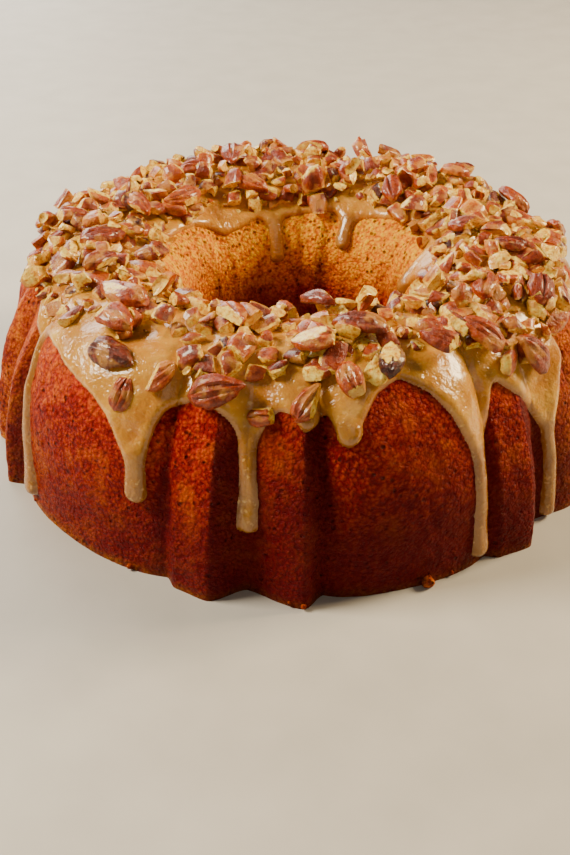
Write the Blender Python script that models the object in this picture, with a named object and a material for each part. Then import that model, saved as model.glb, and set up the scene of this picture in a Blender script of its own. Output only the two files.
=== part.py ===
"""Pecan apple bundt cake: one fluted ring cake with a pecan topping.

Blender 4.5, metres, +Z up. The ring's axis is the Z axis and its flat base lies on z = 0.
The cake is one solid. The chopped pecans on its crown are one uneven solid, and each large
pecan piece is a solid of its own that lies on the crown or on the chopped nuts.
"""

import bpy
import numpy as np

# ---- driving sizes (metres and degrees) ----
RING_RADIUS = 0.127          # base circle that the rib ridges touch
RING_HEIGHT = 0.078          # top of the crown, without nuts
CROWN_RADIUS = 0.650 * RING_RADIUS
LOBE_RADIUS = 0.966 * RING_RADIUS
CREASE_RADIUS = 0.946 * RING_RADIUS
VALLEY_RADIUS = 0.934 * RING_RADIUS
CORNER_RADIUS = 0.978 * RING_RADIUS
HOLE_RADIUS_BASE = 0.290 * RING_RADIUS
HOLE_RADIUS_NECK = 0.345 * RING_RADIUS
HOLE_LIP_DEPTH = 0.45 * RING_HEIGHT   # how far below the crown the rolled lip ends
LOBE_FULLNESS = 3.1          # superellipse power of a lobe's side and shoulder
RIB_FULLNESS = 2.15          # the ribs lean in sooner
LIP_FULLNESS = 2.2
SIDE_DRAFT = 0.08            # share of the outer quarter's width lost towards the crown
BASE_EDGE = 0.0018           # small rounded edge round the flat base

RIB_CENTRES = (-9.4, 47.0, 110.6, 167.0, 230.6, 285.4)   # from the front (-Y) towards +X
RIB_HALF_WIDTH = 13.3        # centre of a rib to the crease beside it
RIB_TURNS = (-RIB_HALF_WIDTH, -11.0, -5.0, 0.5, 10.2, RIB_HALF_WIDTH)
RIB_RADII = (CREASE_RADIUS, CORNER_RADIUS, RING_RADIUS, VALLEY_RADIUS, RING_RADIUS, CREASE_RADIUS)
HOLE_FLUTE_SHARE = 0.18      # the hole's wall repeats the ribs at this share of their relief

TOUCH_GAP = 0.0006           # space below each large piece
LAYER_GAP = 0.0013           # space between the cake and the chopped nuts
NUT_LAYER = 0.0044           # usual thickness of the chopped nuts
NUT_LAYER_EDGE = 0.0020      # thickness at the layer's rim
BARE_AZIMUTH = -30.0         # where the glaze lies bare and the nuts stay higher up

CROWN = 90.0                 # station at the top of the crown
NECK = 180.0                 # station where the rolled lip meets the hole's wall
FOOT = 270.0                 # station at the foot of the hole's wall
SLOPE_STEP = 0.25            # degrees between the points that give the surface's direction


# ---- the ring's surface ----
def soft_ramp(share):
    """A straight ramp from 0 to 1 whose two ends are slightly rounded."""
    return 0.45 * share + 0.55 * (0.5 - 0.5 * np.cos(np.pi * share))


def base_outline(azimuth):
    """Radius of the base at each azimuth in degrees, and how far each belongs to a rib.

    A rib is two saw teeth, from crease to corner to ridge to valley to ridge to crease.
    Between two ribs a lobe rises from its creases to the lobe radius along 1 - (1 - share)^4.
    """
    centres = np.array(RIB_CENTRES)
    turn = (azimuth[:, None] - centres[None, :] + 180.0) % 360.0 - 180.0
    nearest = np.argmin(np.abs(turn), axis=1)
    local = np.take_along_axis(turn, nearest[:, None], axis=1)[:, 0]
    step = np.where(local >= 0, 1, -1)
    gap = (centres[(nearest + step) % centres.size] - centres[nearest]) * step % 360.0
    radius = np.full(azimuth.shape, CREASE_RADIUS)
    for start, end, low, high in zip(RIB_TURNS, RIB_TURNS[1:], RIB_RADII, RIB_RADII[1:]):
        ramp = low + (high - low) * soft_ramp((local - start) / (end - start))
        radius = np.where((local >= start) & (local < end), ramp, radius)
    lobe = np.clip((np.abs(local) - RIB_HALF_WIDTH) / (0.5 * gap - RIB_HALF_WIDTH), 0.0, 1.0)
    rise = 1.0 - (1.0 - lobe) ** 4
    return radius + (LOBE_RADIUS - CREASE_RADIUS) * rise, 1.0 - rise


def full_quarter(turn, fullness):
    """Point of a superellipse of half axes 1 in the direction turn, given in radians."""
    across, above = np.cos(turn), np.sin(turn)
    size = (np.abs(across) ** fullness + np.abs(above) ** fullness) ** (-1.0 / fullness)
    return across * size, above * size


def ring_point(azimuth, station):
    """Points of the fluted ring, from flat arrays of azimuth and station in degrees.

    Station 0 to 90 is a superelliptic quarter from the base up to the crown, 90 to 180 is
    the lip that rolls into the hole, and 180 to 270 is the hole's slightly tapered wall.
    """
    outer, rib_share = base_outline(azimuth)
    neck = HOLE_RADIUS_NECK + HOLE_FLUTE_SHARE * (outer - LOBE_RADIUS)
    foot = HOLE_RADIUS_BASE + HOLE_FLUTE_SHARE * (outer - LOBE_RADIUS)
    turn = np.radians(np.clip(station, 0.0, NECK))
    fullness = LOBE_FULLNESS + (RIB_FULLNESS - LOBE_FULLNESS) * rib_share
    fullness = np.where(station <= CROWN, fullness, LIP_FULLNESS)
    across, above = full_quarter(turn, fullness)
    draft = 1.0 - SIDE_DRAFT * above
    side_radius = CROWN_RADIUS + (outer - CROWN_RADIUS) * across * draft
    lip_radius = CROWN_RADIUS + (CROWN_RADIUS - neck) * across
    radius = np.where(station <= CROWN, side_radius, lip_radius)
    lip_height = RING_HEIGHT - HOLE_LIP_DEPTH * (1.0 - above)
    height = np.where(station <= CROWN, RING_HEIGHT * above, lip_height)
    down = np.clip((station - NECK) / (FOOT - NECK), 0.0, 1.0)
    radius = radius + (foot - neck) * down
    height = height - (RING_HEIGHT - HOLE_LIP_DEPTH) * down
    around = np.radians(azimuth)
    return np.stack([radius * np.sin(around), -radius * np.cos(around), height], axis=1)


def ring_surface(azimuth, station, lift=0.0):
    """Points lifted off the ring along its own outward direction; arguments broadcast."""
    azimuth, station, lift = np.broadcast_arrays(azimuth, station, lift)
    turns = np.asarray(azimuth, dtype=float).ravel()
    stops = np.asarray(station, dtype=float).ravel()
    around = ring_point(turns + SLOPE_STEP, stops) - ring_point(turns - SLOPE_STEP, stops)
    inward = ring_point(turns, stops + SLOPE_STEP) - ring_point(turns, stops - SLOPE_STEP)
    outward = np.cross(around, inward)
    outward = outward / np.linalg.norm(outward, axis=1, keepdims=True)
    points = ring_point(turns, stops) + outward * np.ravel(lift)[:, None]
    return points.reshape(azimuth.shape + (3,))


def rib_azimuths():
    """Azimuths for the ring's mesh: every ridge, valley and crease, and steps between them."""
    centres = np.sort(np.array(RIB_CENTRES) % 360.0)
    turns = np.array(RIB_TURNS)
    middles = 0.5 * (turns[1:] + turns[:-1])
    rib_steps = np.sort(np.concatenate([turns, middles[1:]]))
    azimuths = []
    for number, centre in enumerate(centres):
        following = centres[number + 1] if number + 1 < centres.size else centres[0] + 360.0
        azimuths.extend(centre + rib_steps)
        lobe_start = centre + RIB_HALF_WIDTH
        lobe_width = following - RIB_HALF_WIDTH - lobe_start
        azimuths.extend(lobe_start + lobe_width * np.array([0.14, 0.38, 0.62, 0.86]))
    return np.array(azimuths)


# ---- mesh building ----
def closed_tube(name, grid, material):
    """Object from a grid of points whose rows and columns both close on themselves."""
    rows, columns = grid.shape[:2]
    index = np.arange(rows * columns).reshape(rows, columns)
    right = np.roll(index, -1, axis=1)
    up = np.roll(index, -1, axis=0)
    both = np.roll(right, -1, axis=0)
    first = np.stack([index, right, both], axis=-1).reshape(-1, 3)
    second = np.stack([index, both, up], axis=-1).reshape(-1, 3)
    faces = np.concatenate([first, second])
    return mesh_object(name, grid.reshape(-1, 3), faces, material)


def mesh_object(name, points, faces, material):
    """Named object with its own mesh and material, shaded smooth."""
    mesh = bpy.data.meshes.new(name)
    mesh.from_pydata(points.tolist(), [], faces.tolist())
    mesh.validate()
    mesh.shade_smooth()
    mesh.set_sharp_from_angle(angle=np.radians(50.0))
    mesh.materials.append(material)
    body = bpy.data.objects.new(name, mesh)
    bpy.context.scene.collection.objects.link(body)
    return body


def plain_material(name, colour, roughness):
    """Principled material with one colour."""
    material = bpy.data.materials.new(name)
    material.use_nodes = True
    shader = material.node_tree.nodes["Principled BSDF"]
    shader.inputs["Base Color"].default_value = (*colour, 1.0)
    shader.inputs["Roughness"].default_value = roughness
    shader.inputs["Metallic"].default_value = 0.0
    return material


# ---- sub-parts ----
def build_cake():
    """The fluted ring: side, crown, rolled lip, hole wall and flat base."""
    crust = plain_material("crust", (0.26, 0.07, 0.018), 0.55)
    azimuth = rib_azimuths()
    edge_station = np.degrees(np.arcsin(BASE_EDGE / RING_HEIGHT))
    outside = np.concatenate([[edge_station, 9.0], np.arange(18.0, CROWN + 1.0, 9.0)])
    stations = np.concatenate([outside, np.arange(100.0, 175.0, 10.0), [NECK, 225.0]])
    grid = ring_surface(azimuth[None, :], stations[:, None])
    base_outer = ring_surface(azimuth, 0.0)
    base_outer[:, :2] *= 1.0 - BASE_EDGE / RING_RADIUS
    base_outer[:, 2] = 0.0
    base_inner = ring_surface(azimuth, FOOT)
    base_inner[:, 2] = 0.0
    grid = np.concatenate([base_outer[None], grid, base_inner[None]])
    return closed_tube("bundt_cake", grid, crust)


def layer_edges(azimuth):
    """Outer and inner stations of the chopped nuts: a wavy rim made from a few sine waves.

    The nuts reach less far down in front and to the left, where the glaze lies bare.
    """
    turn = np.radians(azimuth)
    from_bare = (azimuth - BARE_AZIMUTH + 180.0) % 360.0 - 180.0
    waves = 3.0 * np.sin(5.0 * turn + 0.7) + 2.4 * np.sin(9.0 * turn + 2.0) + 1.6 * np.sin(14.0 * turn)
    bare = 13.0 * np.exp(-((from_bare / 26.0) ** 2))
    outer = 58.0 + waves + bare
    inner = 128.0 + 4.0 * np.sin(4.0 * turn + 1.0) + 3.0 * np.sin(11.0 * turn + 0.4)
    return outer, inner


def layer_thickness(azimuth, share):
    """Thickness of the chopped nuts: low at the rims, lumpy in between."""
    turn = np.radians(azimuth)
    dome = np.sqrt(np.clip(1.0 - (2.0 * share - 1.0) ** 4, 0.0, 1.0))
    lumps = 1.0 + 0.16 * np.sin(13.0 * turn + 9.0 * share) + 0.12 * np.sin(22.0 * turn - 14.0 * share)
    return NUT_LAYER_EDGE + (NUT_LAYER * lumps - NUT_LAYER_EDGE) * dome


def build_nut_layer():
    """The heap of chopped pecans round the crown, as one solid with an uneven outline."""
    nuts = plain_material("chopped_pecan", (0.42, 0.22, 0.09), 0.6)
    azimuth = rib_azimuths()
    outer, inner = layer_edges(azimuth)
    share = np.linspace(0.0, 1.0, 7)[:, None]
    station = outer + (inner - outer) * share
    thickness = layer_thickness(azimuth[None, :], share)
    bottom = ring_surface(azimuth[None, :], station, LAYER_GAP)
    top = ring_surface(azimuth[None, :], station, LAYER_GAP + thickness)
    return closed_tube("chopped_pecans", np.concatenate([top, bottom[::-1]]), nuts)


def half_shape(length, width, height):
    """A pecan half along X on a flat underside: grid of rings between two blunt ends.

    Its width follows (1 - x^2.6)^0.6, its top is an arch with a groove down the middle.
    """
    along = np.sin(np.linspace(-0.5 * np.pi, 0.5 * np.pi, 7))[1:-1]
    swell = (1.0 - np.abs(along) ** 2.6) ** 0.6
    angle = np.radians(np.array([0.0, 35.0, 65.0, 90.0, 115.0, 145.0, 180.0, 235.0, 305.0]))
    groove = np.where(np.isclose(angle, 0.5 * np.pi), 0.82, 1.0)
    across = np.cos(angle)
    above = np.where(angle <= np.pi, np.sin(angle) * groove, 0.28 * np.sin(angle))
    ring_x = np.broadcast_to(0.5 * length * along[:, None], (along.size, angle.size))
    ring_y = 0.5 * width * swell[:, None] * across[None, :]
    ring_z = height * (0.35 + 0.65 * swell[:, None]) * (above[None, :] + 0.28) / 1.28
    rings = np.stack([ring_x, ring_y, ring_z], axis=-1)
    tips = np.array([[-0.5 * length, 0.0, 0.22 * height], [0.5 * length, 0.0, 0.22 * height]])
    return rings, tips


def half_faces(rows, columns):
    """Triangles over the rings of a half and its two tips, facing out."""
    index = np.arange(rows * columns).reshape(rows, columns)
    here, right = index[:-1], np.roll(index, -1, axis=1)[:-1]
    up, both = index[1:], np.roll(index, -1, axis=1)[1:]
    sides = [np.stack([here, both, up], axis=-1).reshape(-1, 3)]
    sides.append(np.stack([here, right, both], axis=-1).reshape(-1, 3))
    low, high = index[0], index[-1]
    first_tip = np.full(columns, rows * columns)
    last_tip = first_tip + 1
    sides.append(np.stack([first_tip, np.roll(low, -1), low], axis=-1))
    sides.append(np.stack([last_tip, high, np.roll(high, -1)], axis=-1))
    return np.concatenate(sides)


def crown_frame(azimuth, station, yaw):
    """Point on the ring, and the length, width and up directions of a nut lying there.

    The length points along the ring for yaw 0 and turns towards the hole with yaw.
    """
    step = 0.4
    point = ring_surface(azimuth, station)
    around = ring_surface(azimuth + step, station) - ring_surface(azimuth - step, station)
    inward = ring_surface(azimuth, station + step) - ring_surface(azimuth, station - step)
    around = around / np.linalg.norm(around)
    up = np.cross(around, inward)
    up = up / np.linalg.norm(up)
    across = np.cross(up, around)
    turn = np.radians(yaw)
    length = around * np.cos(turn) + across * np.sin(turn)
    return point, length, np.cross(up, length), up


def height_over_topping(points, station):
    """Height of points over the cake, or over the chopped nuts where these lie below them."""
    azimuth = np.degrees(np.arctan2(points[:, 0], -points[:, 1]))[:, None]
    stations = np.arange(station - SEARCH_REACH, station + SEARCH_REACH, SEARCH_STEP)[None, :]
    outer, inner = layer_edges(azimuth)
    share = (stations - outer) / (inner - outer)
    covered = (share >= -LAYER_MARGIN) & (share <= 1.0 + LAYER_MARGIN)
    thickness = layer_thickness(azimuth, np.clip(share, 0.0, 1.0))
    top = ring_surface(azimuth, stations, np.where(covered, LAYER_GAP + thickness, 0.0))
    offset = points[:, None, :] - top
    distance = np.linalg.norm(offset, axis=-1)
    nearest = np.argmin(distance, axis=1)
    pick = np.arange(points.shape[0])
    outward = np.stack([np.zeros(len(pick)), np.zeros(len(pick)), np.ones(len(pick))], axis=1)
    outward = outward + points * np.array([1.0, 1.0, 0.0]) / RING_RADIUS
    side = np.einsum("ij,ij->i", offset[pick, nearest], outward)
    return np.where(side > 0, distance[pick, nearest], -distance[pick, nearest])


def clear_lift(points, up, station):
    """Lift along up that brings a nut's points just clear of the cake and the chopped nuts."""
    lift = 0.0
    for _ in range(LIFT_ROUNDS):
        short = TOUCH_GAP - np.min(height_over_topping(points + up * lift, station))
        if short <= 0.0:
            break
        lift = lift + short + LIFT_STEP
    return lift


# Large pecan pieces that lie in front: azimuth, station, yaw (degrees), length (metres).
FRONT_PIECES = [
    (-46.0, 86.0, 12.0, 0.0200),
    (-41.0, 72.0, -4.0, 0.0185),
    (-37.0, 59.0, 4.0, 0.0180),
    (-32.0, 49.0, 84.0, 0.0130),
    (-26.5, 58.0, 62.0, 0.0135),
    (-14.8, 61.0, 22.0, 0.0185),
    (-6.4, 53.0, 15.0, 0.0105),
    (1.0, 59.0, 45.0, 0.0140),
    (4.0, 80.0, -6.0, 0.0160),
    (9.3, 60.0, 102.0, 0.0135),
    (14.0, 88.0, 150.0, 0.0180),
    (17.0, 66.0, 70.0, 0.0140),
    (27.5, 68.0, 132.0, 0.0150),
    (39.0, 71.0, 120.0, 0.0170),
    (46.5, 55.0, 114.0, 0.0190),
    (51.0, 116.0, 60.0, 0.0165),
    (52.5, 89.0, 22.0, 0.0175),
    (63.0, 69.0, 30.0, 0.0160),
]
SCATTERED_PIECES = 22
SCATTER_SEED = 11
PIECE_SPACING = 0.0215       # least distance between two large pieces
LIFT_ROUNDS = 12             # tries that a piece gets to come clear, each a small step up
LIFT_STEP = 0.0001
SEARCH_REACH = 30.0          # stations on each side of a piece that it is tested against
SEARCH_STEP = 1.5
LAYER_MARGIN = 0.06          # the chopped nuts count a little past their rims here


def scattered_pieces():
    """More large pieces round the crown, drawn at random but kept apart from the others."""
    draw = np.random.RandomState(SCATTER_SEED)
    pieces = list(FRONT_PIECES)
    places = [ring_surface(piece[0], piece[1]) for piece in pieces]
    while len(pieces) < len(FRONT_PIECES) + SCATTERED_PIECES:
        azimuth = draw.uniform(-180.0, 180.0)
        station = draw.uniform(56.0, 122.0)
        yaw = draw.uniform(0.0, 180.0)
        length = draw.uniform(0.0125, 0.0185)
        place = ring_surface(azimuth, station)
        if min(np.linalg.norm(place - other) for other in places) > PIECE_SPACING:
            pieces.append((azimuth, station, yaw, length))
            places.append(place)
    return pieces


def build_large_pieces():
    """Every large pecan piece as its own solid, lying on the cake or on the chopped nuts."""
    skin = plain_material("pecan_skin", (0.30, 0.10, 0.035), 0.45)
    for number, (azimuth, station, yaw, length) in enumerate(scattered_pieces(), start=1):
        width = 0.0035 + 0.42 * length
        height = 0.0022 + 0.17 * length
        rings, tips = half_shape(length, width, height)
        local = np.concatenate([rings.reshape(-1, 3), tips])
        point, along, across, up = crown_frame(azimuth, station, yaw)
        world = point + local[:, :1] * along + local[:, 1:2] * across + local[:, 2:] * up
        world = world + up * clear_lift(world, up, station)
        faces = half_faces(*rings.shape[:2])
        mesh_object(f"pecan_piece_{number:02d}", world, faces, skin)


def main():
    """Empty the file, then build the cake, the chopped nuts and the large pieces."""
    for item in list(bpy.data.objects):
        bpy.data.objects.remove(item)
    build_cake()
    build_nut_layer()
    build_large_pieces()


main()
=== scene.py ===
import bpy
import numpy as np
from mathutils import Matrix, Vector


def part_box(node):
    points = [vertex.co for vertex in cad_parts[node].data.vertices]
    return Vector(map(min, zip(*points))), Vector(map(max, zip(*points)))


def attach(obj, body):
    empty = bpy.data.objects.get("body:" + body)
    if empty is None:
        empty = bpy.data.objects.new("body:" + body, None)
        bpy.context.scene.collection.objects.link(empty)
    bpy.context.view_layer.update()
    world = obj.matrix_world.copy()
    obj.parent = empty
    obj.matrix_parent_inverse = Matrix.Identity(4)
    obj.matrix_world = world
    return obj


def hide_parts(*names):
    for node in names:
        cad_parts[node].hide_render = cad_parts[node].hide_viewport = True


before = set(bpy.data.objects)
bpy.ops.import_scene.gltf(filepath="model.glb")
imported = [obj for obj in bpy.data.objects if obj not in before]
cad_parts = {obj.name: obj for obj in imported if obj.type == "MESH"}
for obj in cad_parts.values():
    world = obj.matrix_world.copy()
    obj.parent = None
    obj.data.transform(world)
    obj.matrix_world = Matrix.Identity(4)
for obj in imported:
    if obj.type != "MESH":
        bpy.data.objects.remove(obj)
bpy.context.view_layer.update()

MM = 0.001

# ---- the ring, as the CAD has it ----
RING_RADIUS = 0.127
RING_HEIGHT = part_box("bundt_cake")[1].z
CROWN_RADIUS = 0.650 * RING_RADIUS
LOBE_RADIUS = 0.966 * RING_RADIUS
CREASE_RADIUS = 0.946 * RING_RADIUS
VALLEY_RADIUS = 0.934 * RING_RADIUS
CORNER_RADIUS = 0.978 * RING_RADIUS
HOLE_RADIUS_BASE = 0.290 * RING_RADIUS
HOLE_RADIUS_NECK = 0.345 * RING_RADIUS
HOLE_LIP_DEPTH = 0.45 * RING_HEIGHT
LOBE_FULLNESS = 3.1
RIB_FULLNESS = 2.15
LIP_FULLNESS = 2.2
SIDE_DRAFT = 0.08
RIB_CENTRES = (-9.4, 47.0, 110.6, 167.0, 230.6, 285.4)
RIB_HALF_WIDTH = 13.3
RIB_TURNS = (-RIB_HALF_WIDTH, -11.0, -5.0, 0.5, 10.2, RIB_HALF_WIDTH)
RIB_RADII = (CREASE_RADIUS, CORNER_RADIUS, RING_RADIUS, VALLEY_RADIUS, RING_RADIUS, CREASE_RADIUS)
HOLE_FLUTE_SHARE = 0.18
BARE_AZIMUTH = -30.0
CROWN = 90.0
NECK = 180.0
FOOT = 270.0
SLOPE_STEP = 0.25


def soft_ramp(share):
    """A straight ramp from 0 to 1 whose two ends are slightly rounded."""
    return 0.45 * share + 0.55 * (0.5 - 0.5 * np.cos(np.pi * share))


def hill(value, middle, reach, power=2):
    """Rises to 1 at the middle: exp(-((value - middle) / reach)^power)."""
    return np.exp(-(((value - middle) / reach) ** power))


def climb(value, start, reach):
    """Climbs straight from 0 at the start to 1 a reach further on."""
    return np.clip((value - start) / reach, 0.0, 1.0)


def signed_turn(azimuth):
    """The azimuth as an angle from -180 to 180, with the front at 0."""
    return (azimuth + 180.0) % 360.0 - 180.0


def rib_turn(azimuth):
    """Degrees from the nearest rib's centre, and the gap to the next rib on that side."""
    centres = np.array(RIB_CENTRES)
    turn = signed_turn(azimuth[:, None] - centres[None, :])
    nearest = np.argmin(np.abs(turn), axis=1)
    local = np.take_along_axis(turn, nearest[:, None], axis=1)[:, 0]
    step = np.where(local >= 0, 1, -1)
    gap = (centres[(nearest + step) % centres.size] - centres[nearest]) * step % 360.0
    return local, gap


def base_outline(azimuth):
    """Radius of the base at each azimuth, and how far each belongs to a rib.

    A rib is two saw teeth, from crease to corner to ridge to valley to ridge to crease.
    Between two ribs a lobe rises from its creases to the lobe radius along 1 - (1 - share)^4.
    """
    local, gap = rib_turn(azimuth)
    radius = np.full(azimuth.shape, CREASE_RADIUS)
    for start, end, low, high in zip(RIB_TURNS, RIB_TURNS[1:], RIB_RADII, RIB_RADII[1:]):
        ramp = low + (high - low) * soft_ramp((local - start) / (end - start))
        radius = np.where((local >= start) & (local < end), ramp, radius)
    lobe = climb(np.abs(local), RIB_HALF_WIDTH, 0.5 * gap - RIB_HALF_WIDTH)
    rise = 1.0 - (1.0 - lobe) ** 4
    return radius + (LOBE_RADIUS - CREASE_RADIUS) * rise, 1.0 - rise


def full_quarter(turn, fullness):
    """Point of a superellipse of half axes 1 in the direction turn, given in radians."""
    across, above = np.cos(turn), np.sin(turn)
    size = (np.abs(across) ** fullness + np.abs(above) ** fullness) ** (-1.0 / fullness)
    return across * size, above * size


def ring_point(azimuth, station):
    """Points of the fluted ring, from flat arrays of azimuth and station.

    Station 0 to 90 is a superelliptic quarter from the base up to the crown, 90 to 180 is
    the lip that rolls into the hole, and 180 to 270 is the hole's slightly tapered wall.
    """
    outer, rib_share = base_outline(azimuth)
    neck = HOLE_RADIUS_NECK + HOLE_FLUTE_SHARE * (outer - LOBE_RADIUS)
    foot = HOLE_RADIUS_BASE + HOLE_FLUTE_SHARE * (outer - LOBE_RADIUS)
    turn = np.radians(np.clip(station, 0.0, NECK))
    fullness = LOBE_FULLNESS + (RIB_FULLNESS - LOBE_FULLNESS) * rib_share
    fullness = np.where(station <= CROWN, fullness, LIP_FULLNESS)
    across, above = full_quarter(turn, fullness)
    draft = 1.0 - SIDE_DRAFT * above
    side_radius = CROWN_RADIUS + (outer - CROWN_RADIUS) * across * draft
    lip_radius = CROWN_RADIUS + (CROWN_RADIUS - neck) * across
    radius = np.where(station <= CROWN, side_radius, lip_radius)
    lip_height = RING_HEIGHT - HOLE_LIP_DEPTH * (1.0 - above)
    height = np.where(station <= CROWN, RING_HEIGHT * above, lip_height)
    down = climb(station, NECK, FOOT - NECK)
    radius = radius + (foot - neck) * down
    height = height - (RING_HEIGHT - HOLE_LIP_DEPTH) * down
    around = np.radians(azimuth)
    return np.stack([radius * np.sin(around), -radius * np.cos(around), height], axis=1)


def ring_frame(azimuth, station):
    """Points on the ring, the directions along it and the directions straight out of it."""
    turns = np.asarray(azimuth, dtype=float).ravel()
    stops = np.asarray(station, dtype=float).ravel()
    around = ring_point(turns + SLOPE_STEP, stops) - ring_point(turns - SLOPE_STEP, stops)
    inward = ring_point(turns, stops + SLOPE_STEP) - ring_point(turns, stops - SLOPE_STEP)
    outward = np.cross(around, inward)
    around = around / np.linalg.norm(around, axis=1, keepdims=True)
    outward = outward / np.linalg.norm(outward, axis=1, keepdims=True)
    return ring_point(turns, stops), around, outward


def layer_edges(azimuth):
    """Outer and inner stations of the chopped nuts, as the CAD has them."""
    turn = np.radians(azimuth)
    waves = 3.0 * np.sin(5.0 * turn + 0.7) + 2.4 * np.sin(9.0 * turn + 2.0) + 1.6 * np.sin(14.0 * turn)
    bare = 13.0 * hill(signed_turn(azimuth - BARE_AZIMUTH), 0.0, 26.0)
    outer = 58.0 + waves + bare
    inner = 128.0 + 4.0 * np.sin(4.0 * turn + 1.0) + 3.0 * np.sin(11.0 * turn + 0.4)
    return outer, inner


def arc_table():
    """Stations, and the mean distance along the section from the crown to each of them.

    The distance is positive down the outside and negative down into the hole.
    """
    stations = np.linspace(0.0, FOOT, 541)
    azimuths = np.arange(0.0, 360.0, 3.0)
    grid = ring_point(np.tile(azimuths, stations.size), np.repeat(stations, azimuths.size))
    grid = grid.reshape(stations.size, azimuths.size, 3)
    steps = np.linalg.norm(np.diff(grid, axis=0), axis=-1).mean(axis=1)
    along = np.concatenate([[0.0], np.cumsum(steps)])
    return stations, np.interp(CROWN, stations, along) - along


ARC_STATIONS, ARC_LENGTHS = arc_table()


def station_at(arc):
    """Station that lies this far from the crown, measured along the section."""
    return np.interp(-np.asarray(arc), -ARC_LENGTHS, ARC_STATIONS)


# ---- noise and relief ----
NOISE_CELLS = 32


def value_noise(points, cell, seed):
    """Smooth noise from -1 to 1: random lattice values blended in each cell with 3t^2 - 2t^3."""
    table = np.random.RandomState(seed).uniform(-1.0, 1.0, (NOISE_CELLS,) * 3)
    place = points / cell
    low = np.floor(place).astype(int)
    part = place - low
    part = part * part * (3.0 - 2.0 * part)
    total = np.zeros(points.shape[:-1])
    for corner in np.ndindex(2, 2, 2):
        weight = np.prod(np.where(np.array(corner) == 1, part, 1.0 - part), axis=-1)
        spot = (low + np.array(corner)) % NOISE_CELLS
        total = total + weight * table[spot[..., 0], spot[..., 1], spot[..., 2]]
    return total


def soft_relief(points):
    """Broad unevenness of the baked skin, which the glaze follows too."""
    return 0.55 * MM * value_noise(points, 15.0 * MM, 1) + 0.25 * MM * value_noise(points, 6.0 * MM, 2)


def fine_relief(points):
    """Crumbly relief of the bare skin: small lumps, with pits where a coarser noise runs high."""
    lumps = 0.20 * MM * value_noise(points, 2.6 * MM, 3)
    pits = np.clip(value_noise(points, 2.2 * MM, 4) - 0.42, 0.0, 1.0)
    return lumps - 0.9 * MM * pits


# ---- meshes ----
CRUST_SHARP = 50.0
GLAZE_SHARP = 75.0
HALF_SHARP = 42.0
CHUNK_SHARP = 58.0


def tube_faces(rows, columns):
    """Quads over a grid whose columns and rows close on themselves."""
    index = np.arange(rows * columns).reshape(rows, columns)
    up = np.roll(index, -1, axis=0)
    right = np.roll(index, -1, axis=1)
    both = np.roll(up, -1, axis=1)
    return np.stack([index, right, both, up], axis=-1).reshape(-1, 4)


def mesh_piece(name, points, faces, material, values=None, sharp=CRUST_SHARP):
    """Named object from arrays: faces all have the same number of corners.

    Values are numbers at the points, for the material. Edges past the sharp angle stay sharp.
    """
    mesh = bpy.data.meshes.new(name)
    mesh.vertices.add(len(points))
    mesh.vertices.foreach_set("co", np.ascontiguousarray(points, dtype=np.float32).ravel())
    mesh.loops.add(faces.size)
    mesh.loops.foreach_set("vertex_index", np.ascontiguousarray(faces, dtype=np.int32).ravel())
    mesh.polygons.add(len(faces))
    mesh.polygons.foreach_set("loop_start", np.arange(0, faces.size, faces.shape[1], dtype=np.int32))
    mesh.materials.append(material)
    mesh.update(calc_edges=True)
    for key, numbers in (values or {}).items():
        layer = mesh.attributes.new(key, "FLOAT", "POINT")
        layer.data.foreach_set("value", np.ascontiguousarray(numbers, dtype=np.float32))
    mesh.shade_smooth()
    mesh.set_sharp_from_angle(angle=np.radians(sharp))
    piece = bpy.data.objects.new(name, mesh)
    bpy.context.scene.collection.objects.link(piece)
    return piece


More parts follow.
